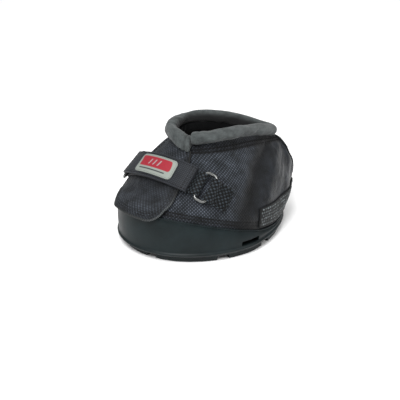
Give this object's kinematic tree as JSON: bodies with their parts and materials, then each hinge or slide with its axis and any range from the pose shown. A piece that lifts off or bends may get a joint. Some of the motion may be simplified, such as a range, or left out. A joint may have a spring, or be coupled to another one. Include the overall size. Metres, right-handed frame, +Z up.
{
  "type": "horse hoof boot",
  "caption": "Hoof boot: rubber cup and treaded sole, fabric upper with padded collar, front flaps and a strap that folds back through a wire ring.",
  "frame": {"origin": "middle of the sole's ground face", "axes": "+Z up, the toe points to -Y, the boot's left side is +X"},
  "size_m": [0.1368, 0.1907, 0.107],
  "materials": {
    "rubber": "satin moulded rubber",
    "board": "pressed fibre board",
    "foam": "closed-cell foam",
    "nylon": "twill-woven nylon",
    "lining": "brushed knit over foam",
    "collar": "padded ribbed fabric",
    "hook_tape": "hook and loop pile",
    "webbing": "narrow woven webbing",
    "binding": "folded binding tape",
    "label": "smooth blank badge",
    "guard": "matt coated sheet",
    "steel": "bright polished wire"
  },
  "bodies": {
    "boot": {"outsole": "rubber", "insole_board": "board", "footbed": "foam", "left_quarter": "nylon", "right_quarter": "nylon", "left_lining": "lining", "right_lining": "lining", "heel_guard": "guard", "back_stay": "nylon", "collar_back": "collar", "near_anchor": "webbing", "far_anchor": "webbing"},
    "near_ring": {"near_ring": "steel"},
    "strap": {"strap": "nylon", "strap_loop": "webbing", "strap_fold": "nylon"},
    "tail": {"strap_tail": "nylon", "tail_hook_tape": "hook_tape", "label": "label"},
    "far_ring": {"far_ring": "steel"},
    "outer_flap": {"outer_flap": "nylon", "flap_lining": "lining", "flap_binding": "binding", "flap_hook_patch": "hook_tape", "collar_front": "collar"},
    "inner_flap": {"inner_flap": "nylon", "inner_flap_loop_patch": "hook_tape"}
  },
  "joints": [
    {"name": "strap_swing", "type": "hinge", "parent": "boot", "child": "near_ring", "pos_m": [0.05231, -0.0263, 0.06358], "axis": [-0.249, 0.7022, 0.667], "range_deg": [0, 150]},
    {"name": "strap_on_ring", "type": "hinge", "parent": "near_ring", "child": "strap", "pos_m": [0.04545, -0.03292, 0.06799], "axis": [-0.249, 0.7022, 0.667], "range_deg": [0, 35], "deforming": ["strap_fold"]},
    {"name": "tail_peel", "type": "hinge", "parent": "strap", "child": "tail", "pos_m": [-0.03922, -0.04966, 0.0623], "axis": [0.0653, -0.7693, -0.6356], "range_deg": [0, 130]},
    {"name": "far_ring_swing", "type": "hinge", "parent": "boot", "child": "far_ring", "pos_m": [-0.04706, -0.04561, 0.0566], "axis": [0.0653, -0.7693, -0.6356], "range_deg": [0, 35]},
    {"name": "flap_open", "type": "hinge", "parent": "boot", "child": "outer_flap", "pos_m": [-0.03737, -0.06397, 0.0447], "axis": [-0.2664, -0.5145, -0.815], "range_deg": [0, 75]},
    {"name": "inner_flap_open", "type": "hinge", "parent": "boot", "child": "inner_flap", "pos_m": [0.0337, -0.06634, 0.04526], "axis": [-0.2894, 0.6253, 0.7248], "range_deg": [0, 37.5]}
  ],
  "couplings": [
    {"joint": "flap_open", "follows": "strap_swing", "ratio": 0.5},
    {"joint": "inner_flap_open", "follows": "strap_swing", "ratio": 0.25}
  ]
}
